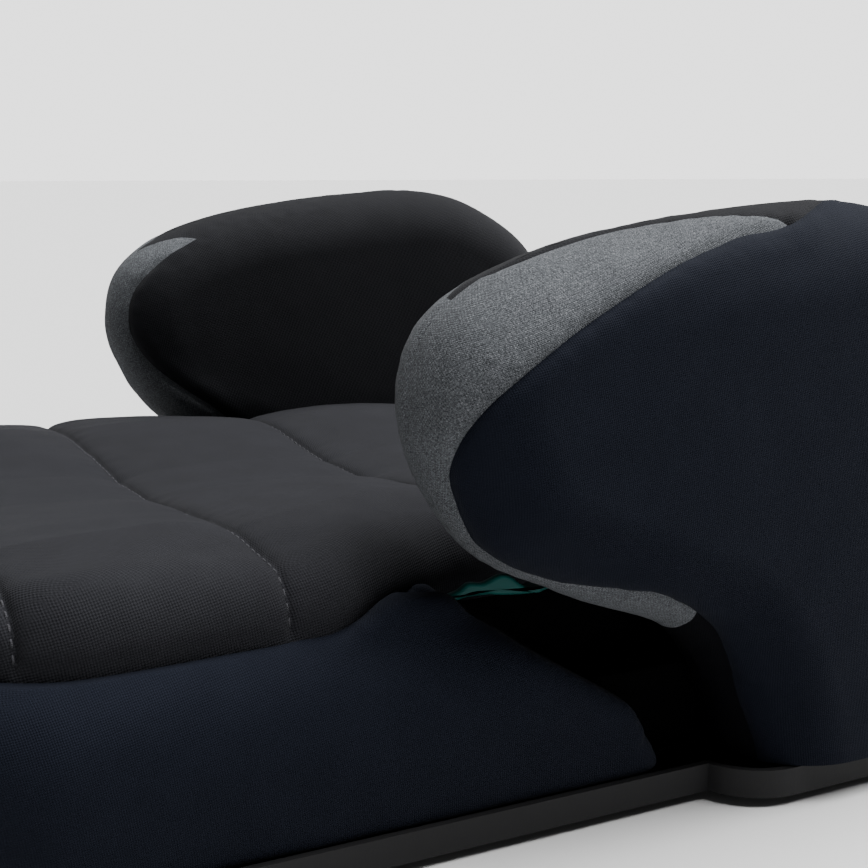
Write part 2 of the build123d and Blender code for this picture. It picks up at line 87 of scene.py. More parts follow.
# A dark binding runs along the armrest's ridge between these two lines, seen from above as (Y, X).
BINDING_INNER = [(-40, 170.5), (-30, 165), (-18, 159), (-6, 150), (0, 138)]
LAP = [
    (-40, 170.5), (-30, 173.2), (-21, 175.8), (0, 177.2), (18, 177), (33, 178.5), (48, 181), (64, 184),
    (79, 188), (90.6, 192.7), (105, 186), (125, 170.5),
]
LAP_EXTRA = {1: 0.0, -1: 6.0}  # how much further out the binding reaches on each armrest, left then right
ARM_SKELETON = [(0, 150), (50, 141), (90, 127), (117, 106), (137, 75), (147, 40), (150, -18)]
STRIPE_END = 49.0  # where the stripe ends under the armrest
# Below this height and in front of this place the post's cloth gets a darker copy of the black knit: painted
# shade for the deep shadow on the post's front.
POST_TOP, POST_BACK = 84.0, 128.0  # the post's own panel is below this height and in front of this place

PAD_CORNERS = [
    ((168, -205), 44), ((168, -80), 34), ((142.5, -28), 34), ((142.5, 198), 26),
    ((-142.5, 198), 26), ((-142.5, -28), 34), ((-168, -80), 34), ((-168, -205), 44),
]
PAD_ROUND = 19.0
PAD_WIDE, PAD_NARROW = 168.0, 142.5  # half the pad's width in front of the armrests and between them
PAD_TAPER = (-80.0, -28.0)  # the pad narrows from the first place to the second
SEAM_Z = 81.0  # where the pad's wall meets the side panel
CHANNELS = (-186.0, -97.0, 2.0, 100.0)  # sewn channels across the pad
CHANNEL_DEPTH = 1.9
PUFF = 4.2  # how high the padding swells between channels
DISH = [(0, 104), (26, 104), (56, 107), (88, 110), (112, 111.5), (128, 110.5), (142, 109), (170, 107)]
STITCH_LONG, STITCH_GAP, STITCH_RADIUS = 3.5, 1.5, 0.42
# One stitch from end to end: how far along it, how wide, and how high above the cloth.
STITCH_SHAPE = [
    (-0.02, 0.15, -0.5), (0.1, 0.75, 0.05), (0.32, 1.0, 0.32), (0.68, 1.0, 0.32), (0.9, 0.75, 0.05),
    (1.02, 0.15, -0.5),
]

GUIDE_PROFILE = [
    (-37, 90.4), (-33, 92), (-28.5, 94.3), (-22.5, 93.8), (-19.3, 94.6), (-14.2, 95.8), (-10, 94.2),
    (-6, 91), (-2.3, 89.3), (1.4, 88.7), (4.6, 89.4), (5.6, 88.6), (2.5, 87.4), (-2.3, 87.2),
    (-9, 87.6), (-18, 88.8), (-28, 89.8), (-36, 89.4),
]
GUIDE_X = (156.0, 166.0)
GUIDE_ROUND = 1.3
LIP_X, LIP_FLOOR = 163.5, 88.0  # the guide's raised lip is outside this plane, and its floor is this high

COVER_GROWTH = 3.2  # how far the side panel's cover stands out from the foam block
# Height of the side panel's top edge along the seat, as (Y, Z), and the rise of its shoulder.
TOP_LINE = [
    (-220, 81.5), (-180, 82.2), (-129, 83), (-95, 84), (-78, 87), (-64, 92), (-57, 94), (-30, 94), (0, 110),
]
SHOULDER_Y, SHOULDER_LIFT = -48.0, 4.0
# The belt path's near-black cover, painted shade for the deep shadow there, is behind the first place, between
# the two planes, and below the height.
PATH_SHADE_Y, PATH_SHADE_IN, PATH_SHADE_X, PATH_SHADE_TOP = -36.0, 138.0, 171.0, 93.0
# A near-black sheet over the side of the mechanism's box is painted shade for the deep shadow there: its
# plane, its span along the seat and up, and its thickness.
SHADE_SHEET_X, SHADE_SHEET_Y, SHADE_SHEET_Z, SHADE_SHEET_T = 163.5, (20.0, 204.0), (16.0, 50.0), 1.2


# ---- curves ----
def closed_curve(points, count):
    """Evenly spaced points on a smooth closed curve through the given ones."""
    p = np.array(points, float)
    n = len(p)
    step = np.linalg.norm(np.roll(p, -1, 0) - p, axis=1)
    a = np.zeros((n, n))
    b = np.zeros((n, 2))
    for i in range(n):
        h0, h1 = step[i - 1], step[i]
        a[i, i - 1] += 1 / h0
        a[i, i] += 2 / h0 + 2 / h1
        a[i, (i + 1) % n] += 1 / h1
        b[i] = 3 * (p[i] - p[i - 1]) / h0**2 + 3 * (p[(i + 1) % n] - p[i]) / h1**2
    slope = np.linalg.solve(a, b)
    fine = []
    for i in range(n):
        j = (i + 1) % n
        t = np.linspace(0, 1, 60, endpoint=False)[:, None]
        fine.append(hermite(p[i], p[j], slope[i] * step[i], slope[j] * step[i], t))
    return resample(np.vstack(fine), count, closed=True)


def hermite(p0, p1, m0, m1, t):
    """Points on the cubic between two points with the given slopes."""
    return (
        (2 * t**3 - 3 * t**2 + 1) * p0 + (t**3 - 2 * t**2 + t) * m0
        + (3 * t**2 - 2 * t**3) * p1 + (t**3 - t**2) * m1
    )


def open_curve(points, count):
    """Evenly spaced points on a smooth open curve through the given ones."""
    p = np.array(points, float)
    step = np.linalg.norm(np.diff(p, axis=0), axis=1)
    inner = (p[2:] - p[:-2]) / (step[1:] + step[:-1])[:, None]
    slope = np.vstack([(p[1] - p[0]) / step[0], inner, (p[-1] - p[-2]) / step[-1]])
    t = np.linspace(0, 1, 40, endpoint=False)[:, None]
    fine = [
        hermite(p[i], p[i + 1], slope[i] * step[i], slope[i + 1] * step[i], t)
        for i in range(len(p) - 1)
    ]
    return resample(np.vstack(fine + [p[-1:]]), count, closed=False)


def resample(p, count, closed):
    """Points at even distances along a polyline."""
    loop = np.vstack([p, p[:1]]) if closed else p
    length = np.concatenate([[0], np.cumsum(np.linalg.norm(np.diff(loop, axis=0), axis=1))])
    at = np.linspace(0, length[-1], count, endpoint=not closed)
    return np.stack([np.interp(at, length, loop[:, k]) for k in range(loop.shape[1])], 1)


def rounded_polygon(corners, start, count):
    """Evenly spaced points round a polygon with rounded corners, from a start on its last side."""
    pts = [np.array(c, float) for c, _ in corners]
    out = [np.array(start, float)]
    for i, (_, radius) in enumerate(corners):
        before = pts[i - 1] - pts[i]
        after = pts[(i + 1) % len(pts)] - pts[i]
        before /= np.linalg.norm(before)
        after /= np.linalg.norm(after)
        half = math.acos(np.clip(before @ after, -1, 1)) / 2
        centre = pts[i] + (before + after) / np.linalg.norm(before + after) * radius / math.sin(half)
        first = pts[i] + before * radius / math.tan(half) - centre
        last = pts[i] + after * radius / math.tan(half) - centre
        a0, a1 = math.atan2(first[1], first[0]), math.atan2(last[1], last[0])
        turn = (a1 - a0 + math.pi) % (2 * math.pi) - math.pi
        for t in np.linspace(0, 1, 24):
            a = a0 + turn * t
            out.append(centre + radius * np.array([math.cos(a), math.sin(a)]))
    return resample(np.array(out), count, closed=True)


def normals_2d(p):
    """Unit normals of a closed line, to the right of its direction."""
    along = np.roll(p, -1, 0) - np.roll(p, 1, 0)
    along /= np.linalg.norm(along, axis=1)[:, None]
    return np.stack([along[:, 1], -along[:, 0]], 1)


def signed_distance(points, line):
    """Distance from each point to an open line, positive on its left."""
    a, b = line[:-1], line[1:]
    best = np.full(len(points), 1e9)
    sign = np.ones(len(points))
    for p, q in zip(a, b):
        d = q - p
        rel = points - p
        t = np.clip(rel @ d / (d @ d), 0, 1)
        near = rel - t[:, None] * d
        dist = np.linalg.norm(near, axis=1)
        side = np.where(d[0] * rel[:, 1] - d[1] * rel[:, 0] > 0, 1.0, -1.0)
        closer = dist < best
        best = np.where(closer, dist, best)
        sign = np.where(closer, side, sign)
    return best * sign


def nearest_on(points, line):
    """The nearest point of an open line to each point."""
    out = np.zeros_like(points)
    best = np.full(len(points), 1e9)
    for p, q in zip(line[:-1], line[1:]):
        d = q - p
        t = np.clip((points - p) @ d / (d @ d), 0, 1)
        spot = p + t[:, None] * d
        dist = np.linalg.norm(points - spot, axis=1)
        out = np.where((dist < best)[:, None], spot, out)
        best = np.minimum(best, dist)
    return out


def wobble(co, scale, seed):
    """Smooth noise, about -1 to 1, with bumps of the given size."""
    shift = Vector((seed * 17.3, seed * 5.1, -seed * 9.7))
    return np.array([noise.noise(Vector(c) / scale + shift) for c in co])


# ---- meshes ----
def rings(layers):
    """Faces of a closed grid, layer after layer of equal length."""
    n = len(layers[0])
    faces = []
    for k in range(len(layers) - 1):
        i = np.arange(n)
        j = (i + 1) % n
        faces.append(np.stack([k * n + i, k * n + j, (k + 1) * n + j, (k + 1) * n + i], 1))
    return np.vstack(layers), np.vstack(faces)


def make_object(name, co, faces):
    mesh = bpy.data.meshes.new(name)
    mesh.from_pydata((co * MM).tolist(), [], [tuple(map(int, face)) for face in faces])
    obj = bpy.data.objects.new(name, mesh)
    bpy.context.collection.objects.link(obj)
    return obj


def repair(obj, operation, over, **settings):
    """Run one bmesh operation over all the mesh's verts or faces."""
    bm = bmesh.new()
    bm.from_mesh(obj.data)
    operation(bm, **{over: getattr(bm, over)}, **settings)
    bm.to_mesh(obj.data)
    bm.free()


def merge_close(obj):
    repair(obj, bmesh.ops.remove_doubles, "verts", dist=0.02 * MM)


def face_outwards(obj):
    repair(obj, bmesh.ops.recalc_face_normals, "faces")


def mirrored(co, faces, side):
    """A left-hand mesh as it is for side 1, or mirrored for side -1."""
    return np.array(co) * [side, 1, 1], [tuple(face[::side]) for face in faces]


def only_used(co, faces):
    """The points that these faces use, with the faces numbered to match."""
    used = list(dict.fromkeys(i for face in faces for i in face))
    number = {i: k for k, i in enumerate(used)}
    return co[used], [tuple(number[i] for i in face) for face in faces]


def vertex_normals(co, faces):
    mesh = bpy.data.meshes.new("temp")
    mesh.from_pydata(co.tolist(), [], [tuple(map(int, face)) for face in faces])
    out = np.zeros(len(co) * 3, np.float32)
    mesh.update()
    mesh.vertex_normals.foreach_get("vector", out)
    bpy.data.meshes.remove(mesh)
    return out.reshape(-1, 3).astype(float)


def cut_mesh(co, faces, field):
    """Split a mesh along the line where a field, with one value for each point, is zero."""
    co, field = list(map(tuple, co)), list(field)
    made = {}
    out = []

    def crossing(i, j):
        key = (min(i, j), max(i, j))
        if key not in made:
            a, b = key
            t = field[a] / (field[a] - field[b])
            made[key] = len(co)
            co.append(tuple(x + (y - x) * t for x, y in zip(co[a], co[b])))
            field.append(0.0)
        return made[key]

    for face in faces:
        face = [int(i) for i in face]
        values = [field[i] for i in face]
        if min(values) >= 0 or max(values) <= 0:
            out.append(tuple(face))
            continue
        low, high = [], []
        for i, j in zip(face, face[1:] + face[:1]):
            if field[i] >= 0:
                high.append(i)
            if field[i] <= 0:
                low.append(i)
            if field[i] * field[j] < 0:
                c = crossing(i, j)
                high.append(c)
                low.append(c)
        out += [tuple(part) for part in (low, high) if len(part) > 2]
    return np.array(co), out


# ---- materials ----
class Graph:
    """A short way to add and join shader nodes."""

    def __init__(self, tree):
        self.tree = tree

    def add(self, kind, inputs=(), **settings):
        node = self.tree.nodes.new(kind)
        for key, value in settings.items():
            setattr(node, key, value)
        for key, value in dict(inputs).items():
            if isinstance(value, bpy.types.NodeSocket):
                self.tree.links.new(value, node.inputs[key])
            else:
                node.inputs[key].default_value = value
        return node

    def math(self, operation, a, b=0.0, c=0.0):
        node = self.add("ShaderNodeMath", {0: a, 1: b, 2: c}, operation=operation)
        return node.outputs[0]

    def noise(self, vector, scale, detail=2.0, rough=0.5):
        node = self.add(
            "ShaderNodeTexNoise",
            {"Vector": vector, "Scale": scale, "Detail": detail, "Roughness": rough},
        )
        return node.outputs[0]

    def ramp(self, value, stops):
        node = self.add("ShaderNodeValToRGB", {0: value})
        ramp = node.color_ramp
        while len(ramp.elements) < len(stops):
            ramp.elements.new(0.5)
        for element, (at, colour) in zip(ramp.elements, stops):
            element.position = at
            element.color = (*colour, 1)
        return node.outputs[0]

    def mix(self, factor, a, b):
        node = self.add("ShaderNodeMix", {0: factor, 6: a, 7: b}, data_type="RGBA")
        return node.outputs[2]

    def bump(self, height, strength, distance, normal=None):
        inputs = {"Height": height, "Strength": strength, "Distance": distance}
        if normal is not None:
            inputs["Normal"] = normal
        return self.add("ShaderNodeBump", inputs).outputs[0]

    def toward(self, vector, aim):
        """How nearly a direction points along another, from -1 to 1."""
        return self.add("ShaderNodeVectorMath", {0: vector, 1: aim}, operation="DOT_PRODUCT").outputs["Value"]

    def ease(self, value, start, end, low, high):
        """Go smoothly from low to high while the value goes from start to end."""
        limits = {"Value": value, "From Min": start, "From Max": end, "To Min": low, "To Max": high}
        return self.add("ShaderNodeMapRange", limits, interpolation_type="SMOOTHSTEP").outputs[0]


class Nodes(Graph):
    """The nodes of one new material."""

    def __init__(self, name):
        self.material = bpy.data.materials.new(name)
        self.material.use_nodes = True
        super().__init__(self.material.node_tree)
        self.bsdf = self.tree.nodes["Principled BSDF"]

    def set(self, **values):
        for key, value in values.items():
            socket = self.bsdf.inputs[key.replace("_", " ")]
            if isinstance(value, bpy.types.NodeSocket):
                self.tree.links.new(value, socket)
            else:
                socket.default_value = value


def weave(n, pitch, turn):
    """Thread height of a fine weave, the same on every face: three flat weaves, mixed by the normal."""
    place = n.add("ShaderNodeTexCoord").outputs["Object"]
    normal = n.add("ShaderNodeNewGeometry").outputs["Normal"]
    drift = n.add("ShaderNodeTexNoise", {"Vector": place, "Scale": 260.0, "Detail": 2.0}).outputs["Color"]
    shift = n.add("ShaderNodeVectorMath", {0: drift, 3: 0.0006}, operation="SCALE").outputs[0]
    bent = n.add("ShaderNodeVectorMath", {0: place, 1: shift}, operation="ADD").outputs[0]
    turned = n.add("ShaderNodeMapping", {"Vector": bent, "Rotation": turn}).outputs[0]
    facing = n.add("ShaderNodeMapping", {"Vector": normal, "Rotation": turn}, vector_type="VECTOR")
    spot = n.add("ShaderNodeSeparateXYZ", {0: turned}).outputs
    side = n.add("ShaderNodeSeparateXYZ", {0: facing.outputs[0]}).outputs
    wave = [n.math("SINE", n.math("MULTIPLY", spot[k], math.pi / pitch)) for k in range(3)]
    share = [n.math("POWER", n.math("ABSOLUTE", side[k]), 6.0) for k in range(3)]
    total = n.math("ADD", n.math("ADD", share[0], share[1]), share[2])
    height = 0.0
    for k in range(3):
        flat = n.math("MULTIPLY", wave[(k + 1) % 3], wave[(k + 2) % 3])
        height = n.math("MULTIPLY_ADD", flat, share[k], height)
    return place, turned, n.math("DIVIDE", height, total)


def knit(name, dark, light, pitch, grain=1.0, sheen=0.02, turn=(0.6, 0.15, 0.1)):
    """A fine knitted or woven cover fabric."""
    n = Nodes(name)
    place, _, over = weave(n, pitch, turn)
    thread = n.math("MULTIPLY_ADD", over, 0.5, 0.5)
    fibre = n.noise(place, 1900.0, 3.0, 0.7)
    mottle = n.noise(place, 60.0, 4.0, 0.6)
    tone = n.math("MULTIPLY_ADD", thread, 0.55, n.math("MULTIPLY", fibre, 0.55))
    tone = n.math("MULTIPLY_ADD", mottle, 0.3, n.math("SUBTRACT", tone, 0.18))
    n.set(
        Base_Color=n.mix(n.add("ShaderNodeClamp", {0: tone}).outputs[0], (*dark, 1), (*light, 1)),
        Roughness=0.85,
        Specular_IOR_Level=0.04,
        Sheen_Weight=sheen,
        Sheen_Roughness=0.4,
        Normal=n.bump(
            n.math("MULTIPLY_ADD", fibre, 0.7, thread), 0.6 * grain, 0.0003,
            n.bump(n.noise(place, 110.0, 3.0), 0.12, 0.0012),
        ),
    )
    return n.material


def melange(name, turn):
    """Grey tweed: light and dark yarns in both directions."""
    n = Nodes(name)
    place, turned, over = weave(n, 0.00065, turn)
    # Yarns: noise stretched along one direction, then along the other.
    long_way = n.add("ShaderNodeMapping", {"Vector": turned, "Scale": (1100, 700, 2300)}).outputs[0]
    short_way = n.add("ShaderNodeMapping", {"Vector": turned, "Scale": (1100, 2300, 700)}).outputs[0]
    warp = n.noise(long_way, 1.0, 1.5, 0.6)
    weft = n.noise(short_way, 1.0, 1.5, 0.6)
    pick = n.math("GREATER_THAN", over, 0.0)
    yarn = n.add("ShaderNodeMix", {0: pick, 2: warp, 3: weft}, data_type="FLOAT").outputs[0]
    fibre = n.noise(place, 2300.0, 2.0, 0.8)
    mottle = n.noise(place, 90.0, 3.0, 0.6)
    tone = n.math("MULTIPLY_ADD", fibre, 0.3, yarn)
    tone = n.math("MULTIPLY_ADD", over, 0.09, tone)
    tone = n.math("MULTIPLY_ADD", mottle, 0.10, n.math("SUBTRACT", tone, 0.20))
    height = n.math("MULTIPLY_ADD", n.math("ABSOLUTE", over), 0.7, n.math("MULTIPLY", fibre, 0.7))
    n.set(
        Base_Color=n.ramp(tone, MELANGE_RAMP),
        Roughness=0.88,
        Specular_IOR_Level=0.05,
        Sheen_Weight=0.02,
        Sheen_Roughness=0.5,
        Normal=n.bump(height, 0.75, 0.00035),
    )
    return n.material


def moulded(name, colour, rough, grain, gloss=0.5, scale=900.0):
    """Moulded plastic or rubber with a fine surface grain."""
    n = Nodes(name)
    place = n.add("ShaderNodeTexCoord").outputs["Object"]
    fine = n.noise(place, scale, 3.0, 0.6)
    broad = n.noise(place, 30.0, 3.0)
    shade = tuple(c * 0.75 for c in colour)
    n.set(
        Base_Color=n.mix(broad, (*shade, 1), (*colour, 1)),
        Roughness=n.math("MULTIPLY_ADD", broad, 0.12, rough - 0.06),
        Specular_IOR_Level=gloss,
        Normal=n.bump(fine, grain, 0.0002),
    )
    return n.material


def metal(name, colour, rough):
    """Zinc-plated steel with fine brushing."""
    n = Nodes(name)
    place = n.add("ShaderNodeTexCoord").outputs["Object"]
    stretched = n.add("ShaderNodeMapping", {"Vector": place, "Scale": (40, 900, 900)}).outputs[0]
    brush = n.noise(stretched, 1.0, 3.0)
    stain = n.noise(place, 120.0, 3.0)
    n.set(
        Base_Color=n.mix(stain, (*(c * 0.85 for c in colour), 1), (*colour, 1)),
        Metallic=1.0,
        Roughness=n.math("MULTIPLY_ADD", brush, 0.15, rough),
        Normal=n.bump(brush, 0.1, 0.0002),
    )
    return n.material


# Yarn colours of the grey cloth, from the darkest.
MELANGE_RAMP = [
    (0.26, (0.020, 0.0215, 0.0235)), (0.42, (0.040, 0.043, 0.047)), (0.58, (0.068, 0.072, 0.078)),
    (0.76, (0.115, 0.120, 0.128)),
]
NAVY = knit("navy_weave", (0.0015, 0.0020, 0.0039), (0.0069, 0.0085, 0.0139), 0.00055)
BLACK = knit("black_knit", (0.0026, 0.0027, 0.0032), (0.0115, 0.0118, 0.0138), 0.0006, 1.0, 0.03)
# Painted shade: a darker copy of the black knit, with no sheen, for the post's front, which lies in deep
# shadow.
POST_PAINTED_SHADE = knit("post_painted_shade_knit", (0.0005, 0.0005, 0.0008), (0.0024, 0.0025, 0.0036), 0.0006, 1.0, 0.0)
# Painted shade: a near-black copy, with no sheen, for the belt path under the armrests and the sheet over the
# mechanism's box, where deep shadow falls.
PAINTED_SHADE_BLACK = knit("painted_shade_black", (0.0002, 0.0002, 0.0003), (0.0008, 0.0008, 0.0010), 0.0008, 1.0, 0.0)
CHARCOAL = knit("charcoal_knit", (0.0038, 0.0039, 0.0048), (0.0152, 0.0155, 0.0180), 0.00068, 1.2)
MELANGE = melange("grey_melange", (0.5, 0.1, 0.1))
TEAL = moulded("teal_plastic", (0.002, 0.050, 0.045), 0.42, 0.05, 0.1)
PAN_BLACK = moulded("black_plastic", (0.006, 0.006, 0.0065), 0.55, 0.35, 0.2)
RUBBER = moulded("foot_rubber", (0.01, 0.01, 0.01), 0.8, 0.3, 0.2)
FOAM = moulded("foam", (0.06, 0.06, 0.065), 0.9, 0.8, 0.2, 260.0)
ZINC = metal("zinc_steel", (0.48, 0.49, 0.50), 0.3)
THREAD = knit("thread", (0.016, 0.016, 0.018), (0.045, 0.045, 0.05), 0.0004, 1.0)


def finish_piece(obj, material, slot, *nodes):
    """Give a piece its material, and put it on the seat body in place of the CAD nodes."""
    obj.data.materials.clear()
    obj.data.materials.append(material)
    obj.data.shade_smooth()
    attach(obj, "seat")
    if nodes:
        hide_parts(*nodes)


# ---- armrests ----
def arm_half(outer, count=520):
    """Half of the armrest's surface, from the ridge to the middle of its face, as rings."""
    line = closed_curve(ARM_OUTLINE, count)
    inward = normals_2d(line)
    radius, face_x, crown, side = (
        (ARM_ROUND_OUT, ARM_OUT, ARM_CROWN_OUT, 1.0) if outer else (ARM_ROUND_IN, ARM_IN, ARM_CROWN_IN, -1.0)
    )
    layers = []
    for a in np.linspace(0, math.pi / 2, 30):
        x = np.full(count, ARM_RIDGE + side * (radius + 0.5) * math.sin(a))
        layers.append(np.column_stack([x, line + inward * radius * (1 - math.cos(a))]))
    rim = line + inward * radius
    core = nearest_on(rim, open_curve(ARM_SKELETON, 80))
    for t in np.linspace(0, 1, 46)[1:]:
        layers.append(np.column_stack([np.full(count, face_x), rim + (core - rim) * t]))
    co, faces = rings(layers)
    spread = np.exp(-(((co[:, 1] - 95) / 120) ** 2) - ((co[:, 2] - 135) / 80) ** 2)
    rise = np.abs(co[:, 0] - ARM_RIDGE) / radius
    co[:, 0] += side * crown * spread * rise**2
    return co, faces


def seam_field(co, outer):
    """Distance behind the seam on the outer or the inner half."""
    line = open_curve(OUTER_SEAM if outer else INNER_SEAM, 260)
    return signed_distance(co[:, 1:], line)


def seam_dip(distance, depth=1.5, puff=0.9):
    """A seam's section: a thin groove, with the cloth swelling on both sides of it."""
    d = np.abs(distance)
    return -depth * np.exp(-((d / 1.1) ** 2)) + puff * np.exp(-(((d - 5.5) / 4.5) ** 2)) * (d < 22)


def lap_field(co, side):
    """Distance outwards past the binding's outer edge, along the armrest's top."""
    y, x = open_curve(LAP, 200).T
    extra = LAP_EXTRA[side] * np.clip((y - LAP[0][0]) / 20, 0, 1) * np.clip((60 - y) / 30, 0, 1)
    return co[:, 0] - np.interp(co[:, 1], y, x + extra, left=100, right=100)


def binding_field(co):
    """Distance inwards past the binding's inner edge."""
    edge = np.interp(co[:, 1], *zip(*BINDING_INNER), left=270)
    return edge - co[:, 0]


def arm_shift(co, outer, side):
    """How far each point of the cover stands out: seams drawn in, cloth between them full."""
    field = seam_field(co, outer)
    lap = lap_field(co, side)
    on_top = np.clip((co[:, 2] - ARM_TOP_SIDE) / 20, 0, 1)
    ridge = np.abs(co[:, 0] - ARM_RIDGE)
    shift = seam_dip(field) * np.clip((co[:, 2] - ARM_FLOOR) / 8, 0, 1)
    begun = on_top * np.clip((co[:, 1] - LAP[0][0]) / 14, 0, 1)
    shift *= 1 - begun * np.clip(-lap / 3, 0, 1)
    shift += seam_dip(lap, 1.0, 0.5) * begun * outer
    shift *= np.clip(ridge / 2.5, 0, 1)
    shift += seam_dip(ridge, 0.8, 0.3) * np.clip((co[:, 1] - 140) / 25, 0, 1) * on_top
    near = np.exp(-((np.abs(field) / 9) ** 2))
    shift += wobble(co, 5.5, 3) * 0.35 * near
    return shift + wobble(co, 48, 7) * 0.7 + wobble(co, 19, 9) * 0.18


def arm_kind(outer, seam, edge, middle):
    """Which panel a face of the armrest belongs to, from its middle and its distances past the seams."""
    on_top = middle[2] > ARM_TOP_SIDE
    if on_top and edge < 0:
        return "inner"
    if outer and seam > 0:
        return "outer"
    if seam > 0 or (not on_top and middle[1] > STRIPE_END):
        return "post" if middle[2] < POST_TOP and middle[1] < POST_BACK else "inner"
    return "stripe"


def opening(co):
    """Distance from the opening low in the inner face, where the connector tube passes."""
    return np.maximum(co[:, 0] - OPENING_X, co[:, 2] - OPENING_Z)


def arm_panels(outer, side):
    """One half of the armrest, cut along its seams: the points, and the faces of each panel."""
    far = 50.0  # stands for a place away from the cut
    binding = (lambda p: lap_field(p, side)) if outer else binding_field
    cuts = [
        lambda p: seam_field(p, outer),
        lambda p: STRIPE_END - p[:, 1] + np.where(p[:, 2] > 140, 500, 0),
        lambda p: np.where(p[:, 2] > ARM_TOP_SIDE, binding(p), far),
        lambda p: np.where(p[:, 1] < 150, p[:, 2] - POST_TOP, far),
        lambda p: np.where(p[:, 2] < POST_TOP + 5, p[:, 1] - POST_BACK, far),
        lambda p: p[:, 2] - ARM_FLOOR,
    ]
    if not outer:
        cuts.append(opening)
    co, faces = arm_half(outer)
    for field in cuts:
        co, faces = cut_mesh(co, faces, field(co))
    normal = vertex_normals(co, faces)
    if np.mean(normal[:, 0]) * (1 if outer else -1) < 0:
        normal = -normal
        faces = [face[::-1] for face in faces]
    seam, edge = seam_field(co, outer), binding(co)
    inside = co[:, 2] - ARM_FLOOR
    if not outer:
        inside = np.minimum(inside, opening(co))
    panels = {kind: [] for kind in ARM_PANELS}
    for face in faces:
        ids = list(face)
        if inside[ids].min() > -0.01:
            panels[arm_kind(outer, seam[ids].mean(), edge[ids].mean(), co[ids].mean(axis=0))].append(face)
    # On the ridge the normals of both halves are the same, so the halves still meet.
    normal[np.abs(co[:, 0] - ARM_RIDGE) < 0.01, 0] = 0
    normal /= np.linalg.norm(normal, axis=1)[:, None]
    return co + normal * arm_shift(co, outer, side)[:, None], panels


# Each panel's name, material, slot, and the CAD nodes that it takes the place of.
ARM_PANELS = {
    "outer": ("arm_outer_panel", NAVY, "navy_weave", ("arm_outer_panel", "arm_core")),
    "stripe": ("arm_stripe", MELANGE, "grey_melange", ("arm_stripe",)),
    "inner": ("arm_inner_panel", BLACK, "black_knit", ("arm_inner_panel",)),
    # The post's low front: the black knit made darker, painted shade.
    "post": ("arm_post_painted_shade", POST_PAINTED_SHADE, "black_knit", ()),
}


def build_arm(side):
    """All the armrest's panels on one side: 1 for left, -1 for right."""
    tag = SIDE_NAMES[side]
    halves = [arm_panels(outer, side) for outer in (True, False)]
    for kind, (name, material, slot, nodes) in ARM_PANELS.items():
        points, faces = [], []
        for co, panels in halves:
            if panels[kind]:
                some, own = only_used(co, panels[kind])
                faces += [tuple(i + len(points) for i in face) for face in own]
                points += list(some)
        obj = make_object(f"{name}_{tag}_cover", *mirrored(points, faces, side))
        merge_close(obj)
        finish_piece(obj, material, slot, *(f"{node}_{tag}" for node in nodes))


# ---- quilted seat pad ----
def dish(x):
    """Height of the pad across the seat, lower in the middle."""
    return np.interp(np.abs(x), *zip(*DISH))


def cell_puff(y):
    """How far the padding swells between two channels, from 0 to 1."""
    edges = (-212.0, *CHANNELS, 206.0)
    out = np.zeros(len(y))
    for a, b in zip(edges[:-1], edges[1:]):
        t = np.clip((y - a) / (b - a), 0, 1)
        inside = (y >= a) & (y < b)
        size = min(1.0, (b - a) / 60)
        out = np.where(inside, size * (1 - np.abs(2 * t - 1) ** 2.6), out)
    return out


def channel_gap(y):
    """Distance to the nearest channel."""
    return np.min(np.abs(y[:, None] - np.array(CHANNELS)[None, :]), axis=1)


def pad_surface(count=1100):
    """The pad's surface as rings, where Z is its level: 0 to 1 up the wall, and 2 on top."""
    line = rounded_polygon(PAD_CORNERS, (0, PAD_CORNERS[0][0][1]), count)
    inward = normals_2d(line)
    if np.mean(np.einsum("ij,ij->i", inward, line)) > 0:
        inward = -inward
    layers = [np.column_stack([line, np.full(count, level)]) for level in np.linspace(0, 1, 6, endpoint=False)]
    for a in np.linspace(0, math.pi / 2, 20):
        place = line + inward * PAD_ROUND * (1 - math.cos(a))
        layers.append(np.column_stack([place, np.full(count, 1 + math.sin(a))]))
    rim = line + inward * PAD_ROUND
    core = np.column_stack([np.zeros(count), np.clip(rim[:, 1] * 0.93, -176, 172)])
    for t in np.linspace(0, 1, 110)[1:]:
        layers.append(np.column_stack([rim + (core - rim) * t, np.full(count, 2.0)]))
    co, faces = rings(layers)
    for y in CHANNELS:
        for off in (-1.6, 0.0, 1.6):
            co, faces = cut_mesh(co, faces, co[:, 1] - y - off)
    return co, faces


